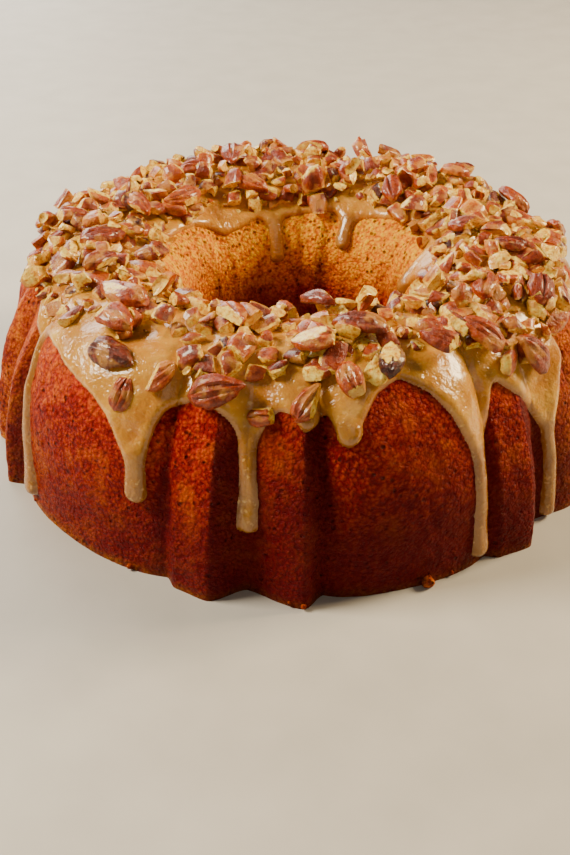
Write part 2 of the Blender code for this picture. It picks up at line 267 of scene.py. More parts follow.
# ---- materials ----
class Shader:
    """A Principled material under construction, with short calls for its nodes."""

    def __init__(self, name):
        self.material = bpy.data.materials.new(name)
        self.material.use_nodes = True
        self.tree = self.material.node_tree
        self.principled = self.tree.nodes["Principled BSDF"]
        self.place = self.add("ShaderNodeTexCoord").outputs["Object"]

    def add(self, kind, **settings):
        """New node with its settings."""
        node = self.tree.nodes.new(kind)
        for key, value in settings.items():
            setattr(node, key, value)
        return node

    def join(self, source, socket):
        """Links an output to an input, or sets the input when the source is a number."""
        if isinstance(source, (int, float, tuple)):
            socket.default_value = source
        else:
            self.tree.links.new(source, socket)

    def set(self, **values):
        """Uniform values on the Principled node's own sockets; underscores stand for spaces."""
        for key, value in values.items():
            self.principled.inputs[key.replace("_", " ")].default_value = value

    def noise(self, scale, detail=2.0, roughness=0.5):
        """Noise value on the object's own coordinates; scale is in cells per metre."""
        node = self.add("ShaderNodeTexNoise")
        self.join(self.place, node.inputs["Vector"])
        node.inputs["Scale"].default_value = scale
        node.inputs["Detail"].default_value = detail
        node.inputs["Roughness"].default_value = roughness
        return node.outputs["Fac"]

    def cells(self, scale):
        """Distance to the nearest cell centre of a Voronoi pattern."""
        node = self.add("ShaderNodeTexVoronoi")
        self.join(self.place, node.inputs["Vector"])
        node.inputs["Scale"].default_value = scale
        return node.outputs["Distance"]

    def value(self, name):
        """A number carried by the mesh."""
        return self.add("ShaderNodeAttribute", attribute_name=name).outputs["Fac"]

    def math(self, kind, first, second, clamp=False):
        """One Math node; clamp keeps its result from 0 to 1."""
        node = self.add("ShaderNodeMath", operation=kind, use_clamp=clamp)
        self.join(first, node.inputs[0])
        self.join(second, node.inputs[1])
        return node.outputs[0]

    def spread(self, source, low, high, start=0.0, end=1.0):
        """Maps low..high to start..end, clamped."""
        node = self.add("ShaderNodeMapRange")
        self.join(source, node.inputs["Value"])
        for key, number in zip(("From Min", "From Max", "To Min", "To Max"), (low, high, start, end)):
            node.inputs[key].default_value = number
        return node.outputs["Result"]

    def mix(self, share, first, second):
        """Mixes two colours: a share of 0 gives the first, 1 the second."""
        node = self.add("ShaderNodeMix", data_type="RGBA")
        self.join(share, node.inputs[0])
        self.join(first, node.inputs[6])
        self.join(second, node.inputs[7])
        return node.outputs[2]

    def ramp(self, source, *stops):
        """Colour ramp with (position, colour) stops."""
        node = self.add("ShaderNodeValToRGB")
        bar = node.color_ramp
        while len(bar.elements) < len(stops):
            bar.elements.new(0.5)
        for element, (position, colour) in zip(bar.elements, stops):
            element.position = position
            element.color = colour
        self.join(source, node.inputs["Fac"])
        return node.outputs["Color"]

    def bump(self, height, distance, strength=1.0, normal=None):
        """Bump of a height from 0 to 1 over a distance in metres."""
        node = self.add("ShaderNodeBump")
        node.inputs["Strength"].default_value = strength
        node.inputs["Distance"].default_value = distance
        self.join(height, node.inputs["Height"])
        if normal is not None:
            self.join(normal, node.inputs["Normal"])
        return node.outputs["Normal"]

    def finish(self, colour, roughness, normal):
        """Connects colour, roughness and normal and gives the material."""
        self.join(colour, self.principled.inputs["Base Color"])
        self.join(roughness, self.principled.inputs["Roughness"])
        self.join(normal, self.principled.inputs["Normal"])
        return self.material


def tint(red, green, blue):
    """Linear colour from 0 to 255 screen values."""
    screen = np.array([red, green, blue]) / 255.0
    linear = np.where(screen <= 0.04045, screen / 12.92, ((screen + 0.055) / 1.055) ** 2.4)
    return (*[float(part) for part in linear], 1.0)


def crust_material():
    """Browned crust: deep red-brown mottling under a coarse open grain of bright lumps and dark pits.

    The mesh says how far the crumb lies open, which shows golden, and how far it is scorched or darkened with
    painted shade.
    """
    shader = Shader("browned_crust")
    mottle = shader.noise(75.0, 3.0, 0.6)
    browns = ((0.3, tint(130, 6, 5)), (0.5, tint(160, 20, 5)), (0.72, tint(194, 54, 5)))
    colour = shader.ramp(mottle, *browns)
    lumps = shader.spread(shader.cells(640.0), 0.1, 0.85, 1.0, 0.0)
    fine = shader.noise(1100.0, 3.0, 0.65)
    wide = shader.noise(290.0, 3.0, 0.6)
    grit = shader.math("ADD", shader.math("MULTIPLY", lumps, 0.22), shader.math("MULTIPLY", fine, 0.36))
    grit = shader.math("ADD", grit, shader.math("MULTIPLY", wide, 0.42))
    high = shader.spread(grit, 0.48, 0.64, 0.0, 0.72)
    colour = shader.mix(high, colour, tint(230, 86, 8))
    low = shader.spread(grit, 0.36, 0.47, 0.6, 0.0)
    colour = shader.mix(low, colour, tint(82, 1, 3))
    pores = shader.cells(360.0)
    hollow = shader.spread(pores, 0.14, 0.36, 1.0, 0.0)
    patch = shader.spread(shader.noise(210.0, 2.0), 0.5, 0.62)
    pit = shader.math("MULTIPLY", hollow, patch)
    # Painted shade in the pores: the crust darkens to a deep dark red in each pit.
    colour = shader.mix(shader.math("MULTIPLY", pit, 0.85), colour, tint(38, 0, 0))
    uneven = shader.spread(mottle, 0.3, 0.7, -0.15, 0.15)
    crumb = shader.math("ADD", shader.value("crumb"), uneven, clamp=True)
    golds = ((0.36, tint(204, 100, 0)), (0.47, tint(246, 154, 0)), (0.6, tint(255, 200, 0)))
    gold = shader.ramp(grit, *golds)
    # Painted shade darkens the golden crumb in its pores too.
    gold = shader.mix(shader.math("MULTIPLY", hollow, 0.8), gold, tint(104, 26, 0))
    colour = shader.mix(crumb, colour, gold)
    # Scorch and painted shade from the mesh darken the crust towards deep maroon.
    colour = shader.mix(shader.value("scorch_and_shade"), colour, tint(80, 0, 8))
    shader.set(Specular_IOR_Level=0.08)
    normal = shader.bump(grit, 3.0 * MM, 0.9)
    normal = shader.bump(pit, -0.9 * MM, 0.8, normal)
    rough = shader.spread(fine, 0.38, 0.62, 0.25, 0.6)
    return shader.finish(colour, rough, normal)


def glaze_material():
    """Poured caramel glaze: tan, glossy, lets light in, more amber where it is thin or runs down.

    The mesh says how thick it is, from 0 at the rim to 1, and how far it belongs to a drip.
    """
    shader = Shader("caramel_glaze")
    cloud = shader.noise(75.0, 3.0, 0.6)
    tans = ((0.32, tint(188, 124, 34)), (0.55, tint(210, 154, 56)), (0.75, tint(228, 182, 86)))
    colour = shader.ramp(cloud, *tans)
    thin = shader.spread(shader.value("depth"), 0.0, 1.0, 0.85, 0.0)
    colour = shader.mix(thin, colour, tint(150, 66, 10))
    run = shader.math("MULTIPLY", shader.value("run"), 0.75)
    colour = shader.mix(run, colour, tint(146, 94, 36))
    fleck = shader.spread(shader.noise(420.0, 2.0), 0.62, 0.72, 0.0, 0.5)
    colour = shader.mix(fleck, colour, tint(240, 196, 112))
    shader.set(Subsurface_Weight=0.35, Subsurface_Radius=(1.0, 0.5, 0.15), Subsurface_Scale=2.4 * MM)
    shader.set(Specular_IOR_Level=0.5, Coat_Weight=0.5, Coat_Roughness=0.06)
    normal = shader.bump(shader.noise(150.0, 3.0, 0.6), 1.8 * MM, 0.6)
    normal = shader.bump(shader.noise(700.0, 2.0, 0.6), 0.6 * MM, 0.5, normal)
    rough = shader.spread(shader.noise(170.0, 2.0), 0.35, 0.65, 0.1, 0.32)
    return shader.finish(colour, rough, normal)


def pecan_material(name):
    """Toasted pecan: streaked brown skin, cream broken flesh, smears of glaze, a wet shine.

    The mesh gives each piece's tone, from 0 for scorched to 1 for pale, how deep in a groove each
    point lies, and where the flesh is: below 0 is skin, above 0 flesh. Noise frays the border.
    """
    shader = Shader(name)
    streak = shader.spread(shader.noise(480.0, 4.0, 0.62), 0.3, 0.7, -0.24, 0.24)
    tone = shader.math("ADD", shader.value("tone"), streak, clamp=True)
    dark_skins = ((0.0, tint(46, 12, 10)), (0.2, tint(98, 30, 6)), (0.5, tint(146, 48, 8)))
    pale_skins = ((0.8, tint(188, 84, 16)), (1.0, tint(222, 146, 48)))
    skin = shader.ramp(tone, *dark_skins, *pale_skins)
    groove = shader.math("MULTIPLY", shader.value("groove"), 0.75, clamp=True)
    skin = shader.mix(groove, skin, tint(84, 24, 6))
    grain = shader.noise(700.0, 3.0, 0.6)
    creams = ((0.32, tint(206, 134, 14)), (0.45, tint(244, 196, 60)), (0.6, tint(255, 230, 116)))
    flesh = shader.ramp(grain, *creams)
    warm = shader.spread(shader.noise(300.0, 3.0), 0.5, 0.7, 0.0, 0.6)
    flesh = shader.mix(warm, flesh, tint(204, 124, 30))
    fray = shader.spread(shader.noise(560.0, 3.0, 0.6), 0.3, 0.7, -0.4, 0.4)
    share = shader.spread(shader.math("ADD", shader.value("flesh"), fray), -0.16, 0.3)
    colour = shader.mix(share, skin, flesh)
    smear = shader.spread(shader.noise(150.0, 2.0), 0.53, 0.62, 0.0, 0.55)
    colour = shader.mix(smear, colour, tint(214, 152, 66))
    shader.set(Specular_IOR_Level=0.35, Coat_Weight=0.4, Coat_Roughness=0.08)
    shader.set(Subsurface_Weight=0.15, Subsurface_Radius=(1.0, 0.5, 0.2), Subsurface_Scale=1.2 * MM)
    normal = shader.bump(shader.noise(420.0, 4.0, 0.65), 1.6 * MM, 0.7)
    rough = shader.spread(shader.noise(700.0, 2.0), 0.35, 0.65, 0.22, 0.5)
    return shader.finish(colour, rough, normal)


# ---- cake ----
SIDE_ROWS, SIDE_COLUMNS = 104, 820
HOLE_ROWS, HOLE_COLUMNS = 100, 440
HIDDEN_GAP = 0.2 * MM        # between each hidden wall and the crown's circle
HIDDEN_DROP = 1.5 * MM       # from the crown down to the hidden walls' tops
BASE_TUCK = 1.6 * MM         # how far the lower edge turns in
FIRST_RIDGE, VALLEY, SECOND_RIDGE = RIB_TURNS[2:5]

# How far the skin is darkened in each place, and where that place is: painted shade in the creases,
# on the ribs' right faces, right of the front and towards the base, and scorch at the back.
CREASE_SHADE = 0.5
FACE_SHADE = 0.34           # on a rib, right of its first ridge
TOOTH_SHADE = 0.3           # between the first ridge and the valley
EDGE_SHADE = 0.4            # right of the second ridge
LOW_SHADE = 0.75            # down towards the base
LOW_TOP, LOW_REACH = 0.8 * RING_HEIGHT, 0.56 * RING_HEIGHT
RIGHT_SHADE = 0.22
RIGHT_PLACE = (26.0, 34.0)   # azimuth of the middle, and reach
BACK_SCORCH = 0.34
BACK_PLACE = (95.0, 30.0)    # azimuth of the start, and reach
MOST_SCORCH_AND_SHADE = 0.88
# The left and right sides, where the light falls, are spared a share of the painted shade.
SIDES_SPARED_SHADE = 0.75            # what the left and right sides are spared
SPARED_SIDES_PLACE = (78.0, 24.0)
RIM_CRUMB = 0.55             # how far the crumb lies open along the lower edge
RIM_HEIGHT = 2.6 * MM
GOLDEN_CRUMB = 0.15          # and all over the sides and back
GOLDEN_PLACE = (42.0, 20.0)


def skin_grid(columns, arcs):
    """Grid of the cake's skin: azimuth in columns, distance from the crown in rows.

    Each point is lifted off the smooth ring by the soft and fine relief, less near the base.
    """
    azimuth = np.arange(columns) * 360.0 / columns
    azimuth, arc = np.meshgrid(azimuth, arcs)
    points, _, outward = ring_frame(azimuth, station_at(arc))
    lift = soft_relief(points) + fine_relief(points)
    near_base = np.clip(points[:, 2] / (4.0 * MM), 0.25, 1.0)
    points = points + outward * (lift * near_base)[:, None]
    points[:, 2] = np.maximum(points[:, 2], 0.0)
    return azimuth, arc, points.reshape(azimuth.shape + (3,))


def ring_row(columns, radius, height):
    """One level circle of points."""
    around = np.radians(np.arange(columns) * 360.0 / columns)
    row = np.stack([radius * np.sin(around), -radius * np.cos(around), np.full(columns, height)], axis=1)
    return row[None]


def side_browning_and_shade(azimuth, height):
    """How far the crumb lies open and the skin is scorched, at each point of the side.

    Scorch lies at the back. Painted shade gathers in the creases and adds up from the rib's right
    faces, the right of the front and the way down to the base, of which the lit left and right
    sides are spared a share. The crumb lies open on the rim as exp(-(height / rim height)^2).
    """
    local, _ = rib_turn(azimuth)
    turn = signed_turn(azimuth)
    # Painted shade in the creases and in the fold at each rib's valley.
    crease = hill(np.abs(local), RIB_HALF_WIDTH, 1.6) + 0.8 * hill(local, VALLEY, 1.5)
    on_rib = local < RIB_HALF_WIDTH
    # Painted shade on the ribs' faces right of the first ridge, where the light falls less.
    faces = FACE_SHADE * ((local > FIRST_RIDGE) & on_rib) + EDGE_SHADE * ((local > SECOND_RIDGE) & on_rib)
    faces = faces + TOOTH_SHADE * ((local > FIRST_RIDGE) & (local < VALLEY))
    # Painted shade right of the front.
    right = RIGHT_SHADE * hill(turn, *RIGHT_PLACE)
    back = BACK_SCORCH * climb(np.abs(turn), *BACK_PLACE)
    # Painted shade down towards the base, of which the lit left and right sides are spared a share.
    low = LOW_SHADE * np.clip((LOW_TOP - height) / LOW_REACH, 0.0, 1.0)
    share = 1.0 - SIDES_SPARED_SHADE * hill(np.abs(turn), *SPARED_SIDES_PLACE)
    # Scorch at the back and painted shade elsewhere, in one value.
    scorch_and_shade = CREASE_SHADE * crease + back + share * (faces + right + low)
    golden = GOLDEN_CRUMB * climb(np.abs(turn), *GOLDEN_PLACE)
    crumb = golden + (RIM_CRUMB - golden) * hill(height, 0.0, RIM_HEIGHT)
    return {"crumb": crumb.ravel(), "scorch_and_shade": np.clip(scorch_and_shade, 0.0, MOST_SCORCH_AND_SHADE).ravel()}


def hole_browning_and_shade(azimuth, depth, points):
    """How far the crumb lies open and the skin is scorched, at each point of the hole's wall.

    The crumb lies open from the lip down to a wavy line. Below it painted shade darkens the skin,
    and in the fold behind each rib's valley.
    """
    local, _ = rib_turn(azimuth)
    wave = 7.0 * MM * value_noise(points, 22.0 * MM, 8)
    crumb = np.clip((70.0 * MM + wave - depth) / (30.0 * MM), 0.05, 1.0)
    # Painted shade in the fold behind each rib's valley and deeper down the hole.
    scorch_and_shade = np.clip(0.55 * hill(local, VALLEY, 3.0) + (depth - 54.0 * MM) / (34.0 * MM), 0.0, 0.8)
    return {"crumb": crumb.ravel(), "scorch_and_shade": scorch_and_shade.ravel()}


def crust_piece(name, grid, values, crust):
    """A closed tube of crust, which stands for the cake's CAD solid."""
    piece = mesh_piece(name, grid.reshape(-1, 3), tube_faces(*grid.shape[:2]), crust, values)
    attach(piece, "root")
    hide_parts("bundt_cake")


def build_side(crust):
    """The ring's outside from base to crown, closed by the base and a hidden wall."""
    azimuth, _, grid = skin_grid(SIDE_COLUMNS, np.linspace(ARC_LENGTHS[0], 0.0, SIDE_ROWS))
    wall = CROWN_RADIUS + HIDDEN_GAP
    base = grid[0].copy()
    base[:, :2] *= 1.0 - BASE_TUCK / RING_RADIUS
    base[:, 2] = 0.0
    inner = ring_row(SIDE_COLUMNS, wall, 0.0)
    top = ring_row(SIDE_COLUMNS, wall, RING_HEIGHT - HIDDEN_DROP)
    grid = np.concatenate([inner, base[None], grid, top])
    crust_piece("cake_side", grid, side_browning_and_shade(azimuth[0], grid[..., 2]), crust)


def build_hole(crust):
    """The lip and the hole's wall, closed by the base and a hidden wall beside the side's."""
    azimuth, arc, grid = skin_grid(HOLE_COLUMNS, np.linspace(0.0, ARC_LENGTHS[-1], HOLE_ROWS))
    wall = CROWN_RADIUS - HIDDEN_GAP
    top = ring_row(HOLE_COLUMNS, wall, RING_HEIGHT - HIDDEN_DROP)
    inner = ring_row(HOLE_COLUMNS, wall, 0.0)
    grid = np.concatenate([top, grid, inner])
    depth = np.pad(-arc, ((1, 1), (0, 0)), mode="edge")
    crust_piece("cake_hole", grid, hole_browning_and_shade(azimuth[0], depth, grid), crust)


# ---- crumbs on the lower edge ----
HANGING_CRUMB = (21.4, 2.4)  # azimuth and millimetres of radius of the one in front
CRUMB_COUNT = 18             # tiny ones, scattered
CRUMB_RADII = (0.5, 1.2)
CRUMB_STATION = 1.2
CRUMB_ROWS, CRUMB_COLUMNS = 8, 12


def build_crumbs(crust):
    """Crumbs that cling to the lower edge: balls whose radius varies by a quarter with noise."""
    draw = np.random.RandomState(9)
    azimuth = np.append(HANGING_CRUMB[0], draw.uniform(-180.0, 180.0, CRUMB_COUNT))
    radius = np.append(HANGING_CRUMB[1], draw.uniform(*CRUMB_RADII, CRUMB_COUNT)) * MM
    rise = np.linspace(-0.5 * np.pi, 0.5 * np.pi, CRUMB_ROWS + 2)[1:-1, None]
    angle = (np.arange(CRUMB_COLUMNS) * 2.0 * np.pi / CRUMB_COLUMNS + 0.5 * np.pi)[None, :]
    ball = [np.sin(rise) + 0.0 * angle, np.cos(rise) * np.cos(angle), np.cos(rise) * np.sin(angle)]
    ball = np.concatenate([np.stack(ball, axis=-1).reshape(-1, 3), [[-1.0, 0.0, 0.0], [1.0, 0.0, 0.0]]])
    centre, _, outward = ring_frame(azimuth, np.full(azimuth.size, CRUMB_STATION))
    centre = centre + outward * (0.35 * radius)[:, None]
    cloud = ball[None] * radius[:, None, None]
    cloud = cloud * (1.0 + 0.25 * value_noise(cloud + centre[:, None], 1.3 * MM, 11))[..., None]
    cloud = centre[:, None] + cloud
    cloud[..., 2] = np.maximum(cloud[..., 2], 0.0)
    faces = kernel_faces(CRUMB_ROWS, CRUMB_COLUMNS)
    faces = (faces[None] + (np.arange(azimuth.size) * len(ball))[:, None, None]).reshape(-1, 3)
    count = azimuth.size * len(ball)
    values = {"crumb": np.full(count, 0.15), "scorch_and_shade": np.full(count, 0.3)}
    piece = mesh_piece("crumbs", cloud.reshape(-1, 3), faces, crust, values)
    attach(piece, "root")


# ---- glaze ----
# Lower edge of the poured glaze down the outside: azimuth, millimetres from the crown.
OUTER_EDGE = [
    (-90, 22), (-78, 20), (-70, 22), (-64, 26), (-60.5, 31), (-57, 28), (-50, 30), (-47, 32.5), (-38.5, 36.5),
    (-34, 42), (-31, 50), (-28.5, 52), (-26.2, 46), (-25, 34), (-23, 29), (-18.8, 23.7), (-14, 26),
    (-10.8, 32), (-8.5, 35), (-6.5, 32), (-3.8, 24.7), (0, 26), (3.5, 24.7), (6, 32), (8.2, 35), (11, 32),
    (13.5, 24.7), (18.2, 20.7), (21.2, 24.7), (23.5, 29), (26.2, 36.5), (28.8, 47), (31.5, 52), (34.2, 46),
    (36.2, 31), (38.2, 26), (42, 34), (46, 43), (49, 53), (51.5, 57), (54, 47), (56.5, 37), (61, 27),
    (67, 24), (72, 33), (77, 26), (84, 21), (92, 30), (98, 24), (106, 21), (112, 32), (118, 36), (123, 24),
    (131, 20), (138, 28), (144, 34), (150, 25), (158, 22), (166, 33), (171, 28), (180, 21), (188, 26),
    (194, 38), (200, 30), (208, 21), (216, 25), (222, 36), (229, 27), (238, 22), (246, 34), (252, 27),
    (262, 21),
]
# Drips: azimuth at the top and at the tip, distance of the tip, half width above and at the tip (mm).
DRIPS = [
    (-61.6, -55.8, 92.7, 4.2, 3.6), (-28.6, -27.8, 67.7, 4.2, 3.9), (-9.0, -8.6, 72.4, 4.3, 3.6),
    (1.2, 1.5, 30.5, 3.5, 3.4), (8.2, 8.2, 40.5, 4.4, 3.9), (31.4, 32.1, 94.2, 4.0, 3.3),
    (50.8, 51.0, 97.0, 3.6, 2.7), (71.6, 70.4, 62.0, 3.7, 3.4), (91.8, 92.6, 84.0, 3.8, 3.2),
    (115.0, 114.2, 57.0, 4.0, 3.7), (120.0, 121.4, 88.0, 3.4, 2.9), (143.2, 142.4, 71.0, 3.9, 3.5),
    (166.4, 167.2, 93.0, 3.9, 3.3), (193.6, 192.8, 66.0, 4.1, 3.8), (221.6, 222.6, 86.0, 3.8, 3.2),
    (246.4, 245.6, 59.0, 3.9, 3.6),
]
# Edge inside the hole: azimuth, millimetres from the crown.
INNER_EDGE = [
    (-168, 35), (-160, 34), (-150, 37), (-140, 38), (-134, 33), (-128, 29), (-114, 28), (-100, 27), (-90, 26),
    (-74, 30), (-60, 28), (-44, 32), (-30, 26), (-14, 28), (0, 33), (16, 27), (30, 26), (46, 31), (60, 28),
    (76, 31), (86, 39), (96, 45), (102, 33), (107, 27), (120, 25), (131, 27), (143, 30), (154, 33), (165, 31),
    (180, 33.5),
]
TONGUES = [
    (-168.6, -169.2, 54.0, 3.6, 3.4), (154.6, 153.8, 46.6, 3.4, 3.6), (95.0, 96.4, 50.0, 4.0, 3.4),
    (-44.0, -43.0, 47.0, 3.4, 3.2), (1.0, 0.0, 52.0, 3.4, 3.3), (47.0, 46.0, 44.0, 3.2, 3.2),
]
OUTSIDE_SCALE = 2.03 * MM    # width of a degree on the shoulder
HOLE_SCALE = 0.80 * MM       # and on the hole's wall
GLAZE = 1.35 * MM            # thickness of the sheet
DRIP_GLAZE = 2.1 * MM        # and of a drip
EDGE_ROUND = 2.6 * MM        # width of the rounded rim
GLAZE_DIVE = 1.1 * MM        # how deep the glaze's rim dips under the skin
GLAZE_UNDER = 1.8 * MM       # and how deep its hidden underside lies
GLAZE_MARGIN = 0.75 * MM     # how far the mesh runs on past the outline
THICK_GLAZE = 1.6 * MM       # from this height on the glaze has its full colour
DRIP_START = 18.0 * MM       # where drips and tongues leave the crown
BEAD_REACH = 5.5 * MM        # length of the bead at a drip's tip
BEAD_SWELL = 1.0 * MM
WAIST = 0.22                 # what a drip's waist loses of its width
GLAZE_COLUMNS = 960
SHOULDER_ROWS, CROWN_ROWS = 96, 52


def smooth_edge(azimuth, table):
    """Edge distance at each azimuth: straight runs between the points, averaged over 2.4 degrees."""
    turns, reach = np.array(table, dtype=float).T
    order = np.argsort(turns % 360.0)
    turns, reach = (turns % 360.0)[order], reach[order] * MM
    total = 0.0
    for shift, weight in zip((-1.2, -0.6, 0.0, 0.6, 1.2), (0.12, 0.24, 0.28, 0.24, 0.12)):
        total = total + weight * np.interp(azimuth + shift, turns, reach, period=360.0)
    return total


def smooth_max(first, second, reach):
    """Larger of two distances, blended over the given reach."""
    blend = np.maximum(reach - np.abs(first - second), 0.0) / reach
    return np.maximum(first, second) + blend * blend * reach * 0.25


def drip_cover(azimuth, down, drips, scale):
    """How far inside the nearest drip each point lies, and how close it is to that drip's bead.

    A drip is a round-ended stroke from the crown to its tip. Its half width runs straight from
    the upper to the lower value, with a slight waist halfway, and its centre line sways a little.
    The bead is exp(-((down - tip) / reach)^2).
    """
    cover = np.full(azimuth.shape, -1.0)
    bead = np.zeros(azimuth.shape)
    for number, (top_turn, tip_turn, reach, upper, lower) in enumerate(drips):
        tip = reach * MM - lower * MM
        share = climb(down, DRIP_START, tip - DRIP_START)
        sway = 0.35 * np.sin(share * 5.0 + number * 1.7) * share * (1.0 - share) * 3.0
        centre = top_turn + (tip_turn - top_turn) * share + sway
        half = (upper + (lower - upper) * share) * MM * (1.0 - WAIST * np.sin(np.pi * share))
        side = signed_turn(azimuth - centre) * scale
        past = np.maximum(down - tip, 0.0) + np.maximum(DRIP_START - down, 0.0)
        inside = half - np.hypot(side, past)
        bead = np.where(inside > cover, hill(down, tip, BEAD_REACH), bead)
        cover = np.maximum(cover, inside)
    return cover, bead


def glaze_cover(azimuth, arc):
    """Distance inside the glaze's outline, the drips' share and their beads, on both sides."""
    outside = arc >= 0.0
    down = np.abs(arc)
    edge = np.where(outside, smooth_edge(azimuth, OUTER_EDGE), smooth_edge(azimuth, INNER_EDGE))
    ahead = np.where(outside, smooth_edge(azimuth + 0.5, OUTER_EDGE), smooth_edge(azimuth + 0.5, INNER_EDGE))
    scale = np.where(outside, OUTSIDE_SCALE, HOLE_SCALE)
    slope = (ahead - edge) / (0.5 * scale)
    sheet = (edge - down) / np.sqrt(1.0 + slope * slope)
    drip, bead = drip_cover(azimuth, down, DRIPS, OUTSIDE_SCALE)
    tongue, knob = drip_cover(azimuth, down, TONGUES, HOLE_SCALE)
    drip = np.where(outside, drip, tongue)
    bead = np.where(outside, bead, knob)
    cover = smooth_max(sheet, drip, 5.0 * MM)
    return cover, np.clip((drip - sheet) / (3.0 * MM) + 0.5, 0.0, 1.0), bead


def glaze_height(azimuth, arc, points):
    """Height of the glaze's top over the skin, its cover, how thick it is and the drips' share.

    The sheet's thickness has puddles of noise and swells just inside its rim. The rim is a
    quarter round: thickness times sqrt(1 - (1 - cover / width)^2). Outside it the sheet falls
    steeply and runs on below the skin.
    """
    cover, drip, bead = glaze_cover(azimuth, arc)
    puddle = value_noise(points, 11.0 * MM, 5) * 0.35 + value_noise(points, 5.0 * MM, 6) * 0.14
    sheet = GLAZE * (1.0 + puddle) + 0.35 * MM * hill(cover, EDGE_ROUND, 1.8 * MM)
    stroke = DRIP_GLAZE * (1.0 + 0.18 * puddle) + BEAD_SWELL * bead
    thick = sheet + (stroke - sheet) * drip
    inside = np.clip(cover / EDGE_ROUND, 0.0, 1.0)
    height = thick * np.sqrt(1.0 - (1.0 - inside) ** 2)
    height = np.where(cover > 0.0, height, np.maximum(cover * 2.0, -GLAZE_DIVE))
    return height, cover, climb(height, 0.0, THICK_GLAZE), drip


def masked_shell(keep, columns):
    """Quads of a closed shell: kept cells above, the same cells turned round below, walls between.

    keep has one flag per cell of a grid whose columns close on themselves. The lower grid's
    points follow the upper ones. Unused points are dropped later.
    """
    rows = keep.shape[0] + 1
    index = np.arange(rows * columns).reshape(rows, columns)
    right = np.roll(index, -1, axis=1)
    quads = np.stack([index[:-1], right[:-1], right[1:], index[1:]], axis=-1)
    top = quads[keep]
    bottom = top[:, ::-1] + rows * columns
    edges = []
    beside = np.pad(keep, ((1, 1), (0, 0)))
    for other, pair in (
        (beside[:-2], (0, 1)),
        (np.roll(keep, -1, axis=1), (1, 2)),
        (beside[2:], (2, 3)),
        (np.roll(keep, 1, axis=1), (3, 0)),
    ):
        rim = quads[keep & ~other][:, pair]
        edges.append(np.concatenate([rim[:, ::-1], rim + rows * columns], axis=1))
    return np.concatenate([top, bottom] + edges)


def drop_unused(points, faces, values):
    """Removes the points that no face uses."""
    used, faces = np.unique(faces, return_inverse=True)
    return points[used], faces.reshape(-1, 4), {key: numbers[used] for key, numbers in values.items()}


def build_glaze(name, arcs, glaze):
    """One closed stretch of the glaze, over these distances from the crown."""
    azimuth = np.arange(GLAZE_COLUMNS) * 360.0 / GLAZE_COLUMNS
    azimuth, arc = np.meshgrid(azimuth, arcs)
    points, _, outward = ring_frame(azimuth, station_at(arc))
    height, cover, depth, run = glaze_height(azimuth.ravel(), arc.ravel(), points)
    base = soft_relief(points)
    top = points + outward * (base + height)[:, None]
    bottom = points + outward * (base - GLAZE_UNDER)[:, None]
    cover = cover.reshape(arc.shape)
    corner = np.maximum(cover, np.roll(cover, -1, axis=1))
    keep = np.maximum(corner[:-1], corner[1:]) > -GLAZE_MARGIN
    faces = masked_shell(keep, GLAZE_COLUMNS)
    values = {"depth": np.concatenate([depth, depth]), "run": np.concatenate([run, run])}
    points, faces, values = drop_unused(np.concatenate([top, bottom]), faces, values)
    points[:, 2] = np.maximum(points[:, 2], 0.0)
    piece = mesh_piece(name, points, faces, glaze, values, GLAZE_SHARP)
    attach(piece, "root")


# ---- pecan shapes ----
HALF_ROWS, HALF_COLUMNS = 30, 36
CHUNK_ROWS, CHUNK_COLUMNS = 6, 12
BIT_ROWS, BIT_COLUMNS = 4, 8
BROKEN_RIM = 0.1             # how far the rim of a broken end is flesh


def kernel_rings(along, columns, length, width, height, groove, ridges, phase):
    """Rings of a pecan half along X on a flat underside, and how deep in a groove each point lies.

    The width follows (1 - |x|^2.4)^0.7. The top is an arch with lengthwise folds: a cosine over
    its width that sways along the length, deepest down the middle. The underside is nearly flat
    with the same folds at a third of their depth.
    """
    swell = (1.0 - np.abs(along) ** 2.4) ** 0.7 * (1.0 - 0.16 * along)
    angle = (np.arange(columns) * 2.0 * np.pi / columns + 0.5 * np.pi)[None, :]
    across, above = np.cos(angle), np.sin(angle)
    sway = 0.7 * np.sin(2.6 * along + 3.0 * phase)
    fold = 0.5 + 0.5 * np.cos(np.pi * ridges * across + phase + sway)
    middle = hill(across, 0.0, 0.3)
    fold = (fold**2 * (0.6 + 0.6 * middle)) * (1.0 - along**4)
    dent = groove * fold * np.where(above >= 0.0, 1.0, 0.35)
    arch = np.where(above >= 0.0, np.abs(above) ** 0.75, -0.32 * np.abs(above)) * (1.0 - dent)
    ring_x = 0.5 * length * along + 0.0 * across
    ring_y = 0.5 * width * swell * across * (1.0 - 0.25 * dent)
    ring_z = height * (0.32 + 0.68 * swell) * (arch + 0.32) / 1.32
    return np.stack([ring_x, ring_y, ring_z], axis=-1), fold


def kernel_grid(rows, columns, length, width, height, *folds):
    """A whole half: its rings, then its two blunt tips; and how deep in a groove each point lies."""
    along = np.sin(np.linspace(-0.5 * np.pi, 0.5 * np.pi, rows + 2))[1:-1, None]
    rings, fold = kernel_rings(along, columns, length, width, height, *folds)
    tips = np.array([[-0.5 * length, 0.0, 0.24 * height], [0.5 * length, 0.0, 0.22 * height]])
    return np.concatenate([rings.reshape(-1, 3), tips]), np.append(fold.ravel(), [0.0, 0.0])


